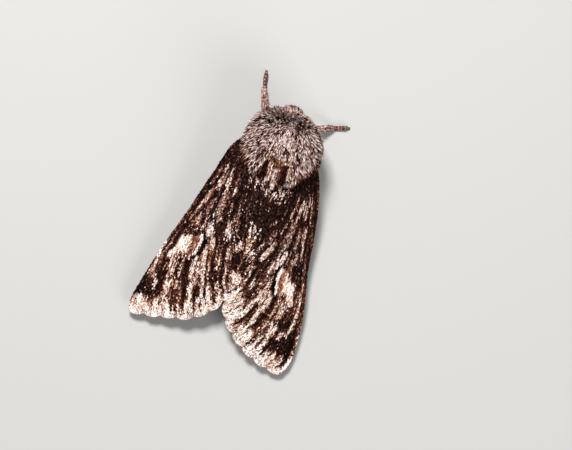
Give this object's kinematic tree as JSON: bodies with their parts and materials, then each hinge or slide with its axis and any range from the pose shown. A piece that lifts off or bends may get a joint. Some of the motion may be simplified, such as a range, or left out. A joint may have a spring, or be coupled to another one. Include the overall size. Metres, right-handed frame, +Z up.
{
  "type": "moth",
  "caption": "Stout furry moth at rest on its feet, brown streaked wings roofed over the body, fringed and speckled, feelers tucked back",
  "frame": {"origin": "on the floor under the middle of the bounding box", "axes": "+Z up from the floor, head toward -Y and wing tips toward +Y, the moth's left toward +X"},
  "size_m": [0.0194, 0.0318, 0.0091],
  "materials": {
    "fur": "coarse hair scales, grey brown with pale tips",
    "wing": "matt wing scales, dark brown with pale streaks",
    "hindwing": "matt pale buff wing scales",
    "leg": "furred, banded pink brown",
    "eye": "glossy dark facets",
    "antenna": "scaled shaft with fine comb teeth"
  },
  "bodies": {
    "root": {"head": "fur", "collar": "fur", "thorax": "fur", "tegula_l": "fur", "tegula_r": "fur", "abdomen": "fur", "palp_l": "leg", "palp_r": "leg", "eye_l": "eye", "eye_r": "eye", "antenna_l": "antenna", "antenna_r": "antenna", "forewing_l": "wing", "forewing_r": "wing", "hindwing_l": "hindwing", "hindwing_r": "hindwing", "foreleg_l": "leg", "foreleg_r": "leg", "midleg_l": "leg", "midleg_r": "leg", "hindleg_l": "leg", "hindleg_r": "leg"}
  },
  "joints": []
}
